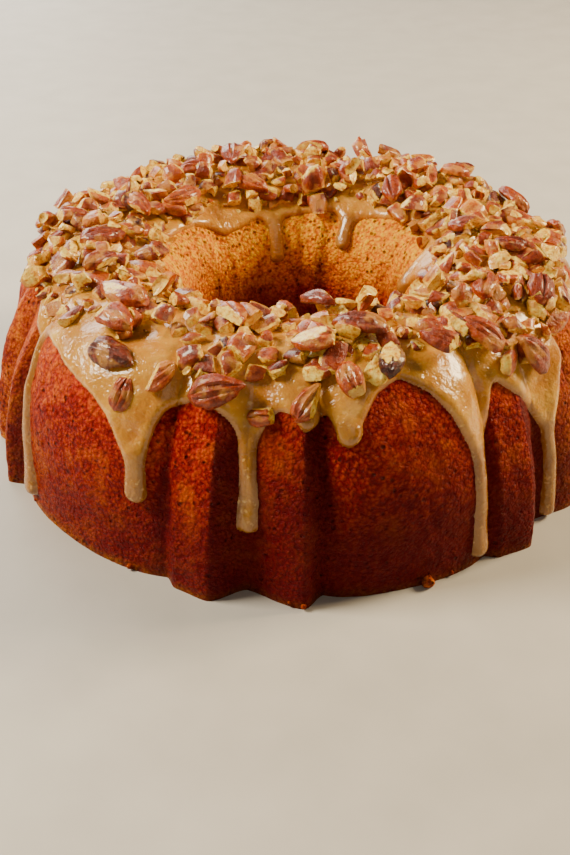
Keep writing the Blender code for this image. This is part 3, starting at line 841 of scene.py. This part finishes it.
def chunk_grid(draw, rows, columns, length, width, height, folds):
    """A stretch of a half between two slanted breaks: points, groove depths and flesh.

    The first and last rings are the next ones drawn in to about half, on the broken ends, and
    the two last points are the ends' middles. Flesh is -1 on the skin, just over 0 on the rims
    and 1 on the ends.
    """
    span = draw.uniform(0.3, 0.52) * 2.0
    start = draw.uniform(-0.9, 0.9 - span)
    along = np.linspace(start, start + span, rows - 2)
    along = along[np.clip(np.arange(rows) - 1, 0, rows - 3), None]
    rings, fold = kernel_rings(along, columns, length, width, height, *folds)
    slants = draw.uniform(-0.5, 0.5, (2, 2))
    share = np.linspace(0.0, 1.0, rows - 2)[np.clip(np.arange(rows) - 1, 0, rows - 3), None]
    slant = slants[0] * (1.0 - share[..., None]) + slants[1] * share[..., None]
    rings[..., 0] += slant[..., 0] * rings[..., 1] + slant[..., 1] * (rings[..., 2] - 0.5 * height)
    ends = rings[[0, -1]].mean(axis=1)
    dish = draw.uniform(-0.08, 0.1, 2) * length
    ends[:, 0] += dish * np.array([-1.0, 1.0])
    rings[[0, -1]] = ends[:, None] + 0.55 * (rings[[0, -1]] - ends[:, None])
    flesh = np.full(rings.shape[:2], -1.0)
    flesh[[1, -2]] = BROKEN_RIM
    flesh[[0, -1]] = 1.0
    points = np.concatenate([rings.reshape(-1, 3), ends])
    return points, np.append(fold.ravel(), [0.0, 0.0]), np.append(flesh.ravel(), [1.0, 1.0])


def kernel_faces(rows, columns):
    """Triangles over the rings of a half and its two tips, facing out."""
    index = np.arange(rows * columns).reshape(rows, columns)
    here, right = index[:-1], np.roll(index, -1, axis=1)[:-1]
    up, both = index[1:], np.roll(index, -1, axis=1)[1:]
    faces = [np.stack([here, both, up], axis=-1).reshape(-1, 3)]
    faces.append(np.stack([here, right, both], axis=-1).reshape(-1, 3))
    low, high = index[0], index[-1]
    first_tip = np.full(columns, rows * columns)
    faces.append(np.stack([first_tip, np.roll(low, -1), low], axis=-1))
    faces.append(np.stack([first_tip + 1, high, np.roll(high, -1)], axis=-1))
    return np.concatenate(faces)


def chop(points, centre, cuts, rough, seed):
    """Points drawn in towards the centre onto each cutting plane, and how far each is flesh.

    A cut is a direction and its distance from the centre. Flesh is five times the share of the
    way that the point was drawn in, and below 0 where the plane passes outside. The broken face
    is roughened.
    """
    offset = points - centre
    cut_share = np.full(len(points), 1.4)
    for direction, distance in cuts:
        reach = np.maximum(offset @ direction, 1e-9)
        cut_share = np.minimum(cut_share, distance / reach)
    flesh = np.clip(5.0 * (1.0 - cut_share), -1.0, 1.0)
    uneven = 1.0 + np.clip(flesh + 0.2, 0.0, 1.0) * rough * value_noise(points, 2.2 * MM, seed)
    return centre + offset * (np.minimum(cut_share, 1.0) * uneven)[:, None], flesh


def cut_plane(direction, sizes, share):
    """A cut through a half of these sizes: its direction, and its distance from the centre.

    The distance is a share of the reach of an ellipsoid with the half's sizes as its axes.
    """
    direction = np.array(direction) / np.linalg.norm(direction)
    return direction, 0.5 * np.sqrt(np.sum((direction * sizes) ** 2)) * share


def random_cuts(draw, sizes):
    """None, one or two cuts in random directions, mostly across or along the half."""
    cuts = []
    for _ in range(draw.randint(0, 3)):
        turn = draw.uniform(0.0, 2.0 * np.pi)
        rise = draw.uniform(-0.5, 0.9)
        cuts.append(cut_plane([np.cos(turn), np.sin(turn), rise], sizes, draw.uniform(0.35, 0.8)))
    return cuts


def node_points(name):
    """Corner points of a CAD node."""
    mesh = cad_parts[name].data
    numbers = np.zeros(len(mesh.vertices) * 3, np.float32)
    mesh.vertices.foreach_get("co", numbers)
    return numbers.reshape(-1, 3).astype(float)


def node_frame(points):
    """Where a CAD pecan lies: middle of its underside, its three directions and its sizes."""
    middle = points.mean(axis=0)
    _, _, axes = np.linalg.svd(points - middle, full_matrices=False)
    along, across, up = axes
    around = np.arctan2(middle[0], -middle[1])
    ring_middle = np.array([np.sin(around), -np.cos(around), 0.0]) * CROWN_RADIUS
    ring_middle[2] = 0.5 * RING_HEIGHT
    if np.dot(up, middle - ring_middle) < 0.0:
        up = -up
    across = np.cross(up, along)
    local = (points - middle) @ np.stack([along, across, up], axis=1)
    low, high = local.min(axis=0), local.max(axis=0)
    centre = 0.5 * (low + high)
    foot = middle + along * centre[0] + across * centre[1] + up * low[2]
    return foot, along, across, up, high - low


# ---- large pecan pieces ----
HALF_FIT = np.array([1.03, 1.05, 1.12])  # their sizes against those of their CAD solids
HALF_SINK = 1.2 * MM         # how far they settle into the chopped nuts
FRONT_PIECES = 18            # the first ones lie in front and have their breaks listed
# The breaks of those pieces: cut direction along, across and up, and its share of the reach.
FRONT_BREAKS = {
    1: [(0.2, 0.3, 1.0, 0.75)],
    2: [(-0.6, -0.2, 0.8, 0.62)],
    4: [(1.0, 0.2, 0.1, 0.8)],
    5: [(-0.5, 1.0, 0.5, 0.3)],
    7: [(1.0, 0.0, 0.3, 0.6), (0.0, 1.0, 0.2, 0.6)],
    8: [(0.3, -0.9, 0.6, 0.4)],
    9: [(-0.2, 0.3, 1.0, 0.45), (1.0, 0.0, 0.2, 0.7)],
    10: [(0.9, 0.0, 0.6, 0.6)],
    12: [(0.2, 0.2, 1.0, 0.5)],
    13: [(-1.0, 0.2, 0.4, 0.55)],
    16: [(0.4, 0.7, 0.7, 0.55)],
    18: [(0.9, 0.2, 0.5, 0.6)],
}
# Tones listed, from 0 for scorched to 1 for pale.
FRONT_TONES = {1: 0.55, 2: 0.6, 3: 0.2, 4: 0.55, 6: 0.5, 12: 0.05, 13: 0.5, 14: 0.6, 15: 0.48, 17: 0.58}


def half_cuts(draw, number, sizes):
    """Breaks of one large piece: listed in front, random on the rest."""
    if number > FRONT_PIECES:
        return random_cuts(draw, sizes)
    return [cut_plane(direction, sizes, share) for *direction, share in FRONT_BREAKS.get(number, [])]


def half_shape(draw, number, sizes):
    """One large piece on itself: a wrinkled, slightly bent and perhaps broken half.

    Gives its points, and how deep in a groove and how far flesh each is.
    """
    length, width, height = sizes
    folds = (draw.uniform(0.2, 0.34), draw.uniform(2.6, 4.2), draw.uniform(-0.9, 0.9))
    points, dent = kernel_grid(HALF_ROWS, HALF_COLUMNS, length, 0.92 * width, height, *folds)
    centre = np.array([0.0, 0.0, 0.42 * height])
    wrinkle = value_noise(points * np.array([0.4, 1.0, 1.0]) + number * 0.013, 1.3 * MM, 7)
    lump = value_noise(points + number * 0.017, 4.0 * MM, 9)
    points = centre + (points - centre) * (1.0 + 0.075 * wrinkle + 0.1 * lump)[:, None]
    bend = 0.05 * draw.uniform(-1.0, 1.0) * (2.0 * points[:, 0] / length) ** 2
    points[:, 1] += bend * width
    points, flesh = chop(points, centre, half_cuts(draw, number, sizes), 0.08, 30 + number)
    return points, np.clip(dent, 0.0, 1.0) * (flesh < 0.0), flesh


def build_halves(material):
    """Every large pecan piece, on the place of its CAD solid."""
    draw = np.random.RandomState(21)
    names = sorted(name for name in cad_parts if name.startswith("pecan_piece_"))
    faces = kernel_faces(HALF_ROWS, HALF_COLUMNS)
    clouds, all_faces, fleshes, tones, grooves = [], [], [], [], []
    for number, name in enumerate(names, start=1):
        foot, along, across, up, size = node_frame(node_points(name))
        points, groove, flesh = half_shape(draw, number, size * HALF_FIT)
        foot = foot - up * HALF_SINK
        clouds.append(foot + points @ np.stack([along, across, up]))
        all_faces.append(faces + (number - 1) * len(points))
        tone = FRONT_TONES.get(number, draw.uniform(0.3, 0.75))
        tones.append(np.full(len(points), tone))
        grooves.append(groove)
        fleshes.append(flesh)
    values = {"tone": tones, "groove": grooves, "flesh": fleshes}
    values = {key: np.concatenate(parts) for key, parts in values.items()}
    faces = np.concatenate(all_faces)
    piece = mesh_piece("pecan_halves", np.concatenate(clouds), faces, material, values, HALF_SHARP)
    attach(piece, "root")
    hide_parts(*names)
    return names


# ---- chopped pecans ----
CHUNK_SHAPES, BIT_SHAPES = 60, 24        # different shapes
CHUNK_WIDTHS = (7.4 * MM, 12.4 * MM)
BIT_WIDTHS = (2.4 * MM, 4.4 * MM)
SPLIT_SHARE = 0.8            # how many are split lengthwise too
UPSIDE_DOWN_SHARE = 0.45
SCORCHED_SHARE = 0.03
LOWER_TRIES, LOWER_SPACING = 6400, 6.0 * MM
UPPER_TRIES, UPPER_SPACING = 3200, 7.4 * MM
BIT_TRIES, BIT_SPACING = 900, 4.0 * MM
CHUNK_SINK = 1.7 * MM        # how deep the lower layer sinks into the glaze
BIT_SINK = 0.5 * MM
KEEP_CLEAR = 0.28            # share of a large piece's length that is kept clear round its foot
# Where the heap is thinner: azimuth or station of the middle, and reach.
BARE_GLAZE = (-33.0, 18.0)
BARE_BELOW = 82.0            # station up to which that glaze is bare
THIN_FRONT = (4.0, 58.0)
THIN_RIGHT = (25.0, 20.0)
THIN_LEFT = (-72.0, 34.0)
GAP_AZIMUTH, GAP_STATION = (-5.5, 6.5), (66.0, 8.5)


def chunk_library(draw, count, rows, columns, width_range):
    """Different chopped shapes, each centred on itself: points, flesh and groove depths.

    Each is a stretch of a half. Most are split lengthwise too, and all are lumpy.
    """
    shapes = []
    for number in range(count):
        width = draw.uniform(*width_range)
        length = width * draw.uniform(1.5, 1.9)
        height = width * draw.uniform(0.5, 0.68)
        folds = (draw.uniform(0.15, 0.35), draw.uniform(1.6, 3.0), draw.uniform(-1.5, 1.5))
        points, dent, flesh = chunk_grid(draw, rows, columns, length, width, height, folds)
        centre = 0.5 * (points.min(axis=0) + points.max(axis=0))
        cuts = []
        if draw.uniform() < SPLIT_SHARE:
            side = draw.uniform(0.0, 2.0 * np.pi)
            direction = np.array([draw.uniform(-0.4, 0.4), np.cos(side), 0.7 * np.sin(side)])
            direction = direction / np.linalg.norm(direction)
            cuts.append((direction, width * draw.uniform(0.04, 0.22)))
        points, split = chop(points, centre, cuts, 0.1, 200 + number)
        flesh = np.maximum(flesh, split)
        lump = value_noise(points, 0.3 * width, 300 + number)
        points = centre + (points - centre) * (1.0 + 0.13 * lump)[:, None]
        points = points - 0.5 * (points.min(axis=0) + points.max(axis=0))
        shapes.append((points, flesh, np.clip(dent, 0.0, 1.0) * (flesh < 0.0)))
    return shapes


def spots(draw, tries, spacing, reach, taken, density):
    """Azimuths and stations of scattered pieces: random places over the layer's width.

    A place is dropped where a draw exceeds the density, and where it lies within the spacing of
    an earlier one or inside a taken sphere. The reach lets places lie past the layer's edges.
    """
    azimuth = draw.uniform(-180.0, 180.0, tries)
    outer, inner = layer_edges(azimuth)
    share = draw.uniform(-reach, 1.0 + reach, tries)
    station = outer + (inner - outer) * share
    places, _, _ = ring_frame(azimuth, station)
    chance = draw.uniform(0.0, 1.0, tries) < density(azimuth, station, share)
    chosen = []
    kept = np.zeros((0, 3))
    for number in range(tries):
        if not chance[number]:
            continue
        if len(kept) and np.min(np.sum((kept - places[number]) ** 2, axis=1)) < spacing**2:
            continue
        if len(taken) and np.min(np.linalg.norm(taken[:, :3] - places[number], axis=1) - taken[:, 3]) < 0.0:
            continue
        chosen.append(number)
        kept = np.concatenate([kept, places[number : number + 1]])
    return azimuth[chosen], station[chosen]


def lower_density(azimuth, station, share):
    """Chance of a chunk: the product of what each thin place leaves of 1.

    The heap is full at the back and the right side. It is thinner along its rims, over the front
    and most towards the front's lower right, on the left, over a gap left of the middle, and
    least on the bare glaze.
    """
    rim = np.clip(np.minimum(share, 1.0 - share) / 0.05 + 0.9, 0.2, 1.0)
    bare = 0.95 * hill(azimuth, *BARE_GLAZE) * (station < BARE_BELOW)
    front = hill(azimuth, *THIN_FRONT, 4) * (0.34 + 0.16 * np.clip((76.0 - station) / 14.0, 0.0, 1.0))
    right = 0.6 * hill(azimuth, *THIN_RIGHT) * np.clip((80.0 - station) / 8.0, 0.0, 1.0)
    front = np.clip(front + right, 0.0, 1.0)
    left = 0.5 * hill(azimuth, *THIN_LEFT, 4)
    gap = 0.95 * hill(azimuth, *GAP_AZIMUTH, 4) * hill(station, *GAP_STATION, 4)
    return np.clip(rim * (1.0 - bare) * (1.0 - front) * (1.0 - left) * (1.0 - gap), 0.0, 1.0)


def upper_density(azimuth, station, share):
    """Chance of a chunk of the second layer: in the middle of the heap, more at the back."""
    middle = climb(np.minimum(share, 1.0 - share), 0.0, 0.16)
    back = 0.16 + 0.44 * climb(np.abs(azimuth), 55.0, 40.0)
    return middle * back * lower_density(azimuth, station, share)


def turn_matrices(draw, count, tilt):
    """Rotation for each piece: any yaw, some tilt, and a share turned upside down."""
    yaw = draw.uniform(0.0, 2.0 * np.pi, count)
    lean = np.radians(draw.normal(0.0, tilt, count))
    roll = np.radians(draw.normal(0.0, tilt, count))
    roll = roll + np.pi * (draw.uniform(0.0, 1.0, count) < UPSIDE_DOWN_SHARE)
    one, nil = np.ones(count), np.zeros(count)

    def matrix(rows):
        return np.stack([np.stack(row, axis=-1) for row in rows], axis=-2)

    about_z = matrix([[np.cos(yaw), -np.sin(yaw), nil], [np.sin(yaw), np.cos(yaw), nil], [nil, nil, one]])
    about_y = matrix([[np.cos(lean), nil, np.sin(lean)], [nil, one, nil], [-np.sin(lean), nil, np.cos(lean)]])
    about_x = matrix([[one, nil, nil], [nil, np.cos(roll), -np.sin(roll)], [nil, np.sin(roll), np.cos(roll)]])
    return about_z @ about_y @ about_x


def lay_pieces(draw, shapes, azimuth, station, sink, lift, tilt, scale_range):
    """Places library shapes on the ring: points, flesh, grooves and tones of every piece.

    Each piece is scaled and turned, then raised along the ring's outward direction until its
    lowest point is the sink below the lift.
    """
    count = len(azimuth)
    origin, around, outward = ring_frame(azimuth, station)
    across = np.cross(outward, around)
    axes = np.stack([around, across, outward], axis=1)
    turns = turn_matrices(draw, count, tilt)
    pick = draw.randint(0, len(shapes), count)
    scale = draw.uniform(*scale_range, count)
    cloud = np.stack([shape[0] for shape in shapes])[pick] * scale[:, None, None]
    cloud = np.einsum("nij,nvj->nvi", turns, cloud)
    low = cloud[..., 2].min(axis=1)
    cloud[..., 2] += (lift - sink - low)[:, None]
    world = origin[:, None, :] + np.einsum("nvi,nij->nvj", cloud, axes)
    flesh = np.stack([shape[1] for shape in shapes])[pick]
    groove = np.stack([shape[2] for shape in shapes])[pick]
    tone = np.clip(draw.normal(0.58, 0.17, count), 0.0, 1.0)
    tone = np.where(draw.uniform(0.0, 1.0, count) < SCORCHED_SHARE, 0.05, tone)
    return world, flesh, groove, np.broadcast_to(tone[:, None], flesh.shape)


def chopped_piece(name, groups, faces, material):
    """One object from groups of placed pieces that share their faces."""
    world, flesh, groove, tone = [np.concatenate(parts) for parts in zip(*groups)]
    count, size = world.shape[:2]
    all_faces = (faces[None] + (np.arange(count) * size)[:, None, None]).reshape(-1, 3)
    values = {"tone": tone.ravel(), "groove": groove.ravel(), "flesh": flesh.ravel()}
    piece = mesh_piece(name, world.reshape(-1, 3), all_faces, material, values, CHUNK_SHARP)
    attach(piece, "root")
    return piece


def large_spheres(names):
    """Foot of each large piece, and the radius round it that chunks keep clear of."""
    spheres = []
    for name in names:
        foot, _, _, _, size = node_frame(node_points(name))
        spheres.append([*foot, KEEP_CLEAR * size[0]])
    return np.array(spheres)


def build_chopped(material, large):
    """Chopped pecans round the crown in two layers, and smaller bits between them."""
    draw = np.random.RandomState(5)
    taken = large_spheres(large)
    shapes = chunk_library(draw, CHUNK_SHAPES, CHUNK_ROWS, CHUNK_COLUMNS, CHUNK_WIDTHS)
    lower = spots(draw, LOWER_TRIES, LOWER_SPACING, 0.03, taken, lower_density)
    upper = spots(draw, UPPER_TRIES, UPPER_SPACING, 0.0, taken, upper_density)
    lift = GLAZE + draw.uniform(1.0, 2.4, len(upper[0])) * MM
    groups = [
        lay_pieces(draw, shapes, *lower, CHUNK_SINK, GLAZE, 16.0, (0.62, 1.06)),
        lay_pieces(draw, shapes, *upper, 0.0, lift, 24.0, (0.62, 0.98)),
    ]
    faces = kernel_faces(CHUNK_ROWS, CHUNK_COLUMNS)
    chunks = chopped_piece("chopped_pecan_chunks", groups, faces, material)
    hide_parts("chopped_pecans")
    shapes = chunk_library(draw, BIT_SHAPES, BIT_ROWS, BIT_COLUMNS, BIT_WIDTHS)
    bits = spots(draw, BIT_TRIES, BIT_SPACING, 0.05, np.zeros((0, 4)), lower_density)
    groups = [lay_pieces(draw, shapes, *bits, BIT_SINK, GLAZE, 30.0, (0.6, 1.15))]
    chopped_piece("chopped_pecan_bits", groups, kernel_faces(BIT_ROWS, BIT_COLUMNS), material)


# ---- stage ----
CAMERA_PITCH = 34.5
CAMERA_DISTANCE = 3.66 * RING_RADIUS
CAMERA_SIDE = -0.0384 * RING_RADIUS
CAMERA_RISE = -0.0776 * RING_RADIUS
CAMERA_LENS = 44.5
FLOOR_REACH = 4.0
LIGHT_AIM = (0.0, 0.0, 0.04)
# Square area lights: place, width, watts and colour.
LIGHTS = {
    "side_light": ((-0.95, -0.05, 0.85), 0.4, 27.0, (1.0, 0.86, 0.64)),
    "window_light": ((-0.6, 1.05, 0.55), 0.8, 16.0, (1.0, 0.94, 0.84)),
    "lamp_light": ((1.0, 0.3, 0.7), 0.4, 29.0, (1.0, 0.77, 0.44)),
    "front_light": ((0.1, -1.1, 1.0), 0.9, 1.8, (1.0, 0.85, 0.66)),
}
SURROUND_COLOUR, SURROUND_STRENGTH = (1.0, 0.9, 0.76, 1.0), 0.11


def build_camera():
    """Camera looking down on the front of the cake."""
    pitch = np.radians(CAMERA_PITCH)
    forward = Vector((0.0, np.cos(pitch), -np.sin(pitch)))
    above = Vector((0.0, np.sin(pitch), np.cos(pitch)))
    camera = bpy.data.objects.new("camera", bpy.data.cameras.new("camera"))
    camera.data.lens = CAMERA_LENS
    camera.data.sensor_width = 36.0
    camera.data.clip_start = 0.01
    camera.location = -forward * CAMERA_DISTANCE + Vector((CAMERA_SIDE, 0.0, 0.0)) + above * CAMERA_RISE
    camera.rotation_euler = (np.radians(90.0 - CAMERA_PITCH), 0.0, 0.0)
    bpy.context.scene.collection.objects.link(camera)
    bpy.context.scene.camera = camera


def build_light(name, place, size, power, colour):
    """Square area light that faces the cake."""
    data = bpy.data.lights.new(name, "AREA")
    data.size = size
    data.energy = power
    data.color = colour
    light = bpy.data.objects.new(name, data)
    light.location = place
    light.rotation_euler = (Vector(LIGHT_AIM) - Vector(place)).to_track_quat("-Z", "Y").to_euler()
    bpy.context.scene.collection.objects.link(light)


def build_stage():
    """Plain pale floor, soft lights and a dim even surround."""
    shader = Shader("pale_floor")
    speckle = shader.noise(40.0, 3.0)
    colour = shader.ramp(speckle, (0.3, tint(186, 183, 178)), (0.7, tint(194, 191, 186)))
    finish = shader.finish(colour, 0.6, shader.bump(speckle, 0.1 * MM, 0.2))
    corners = np.array([[-1.0, -1.0, 0.0], [1.0, -1.0, 0.0], [1.0, 1.0, 0.0], [-1.0, 1.0, 0.0]])
    floor = mesh_piece("floor", FLOOR_REACH * corners, np.array([[0, 1, 2, 3]]), finish)
    for name, settings in LIGHTS.items():
        build_light(name, *settings)
    world = bpy.data.worlds.new("surround")
    bpy.context.scene.world = world
    world.use_nodes = True
    back = world.node_tree.nodes["Background"]
    back.inputs["Color"].default_value = SURROUND_COLOUR
    back.inputs["Strength"].default_value = SURROUND_STRENGTH


# ---- making ----
build_camera()
build_stage()
crust_finish = crust_material()
build_side(crust_finish)
build_hole(crust_finish)
build_crumbs(crust_finish)
glaze_finish = glaze_material()
build_glaze("glaze_shoulder", np.linspace(ARC_LENGTHS[0] + 1.0 * MM, 0.0, SHOULDER_ROWS), glaze_finish)
build_glaze("glaze_crown", np.linspace(0.0, -60.0 * MM, CROWN_ROWS), glaze_finish)
large_names = build_halves(pecan_material("toasted_pecan"))
build_chopped(pecan_material("chopped_toasted_pecan"), large_names)
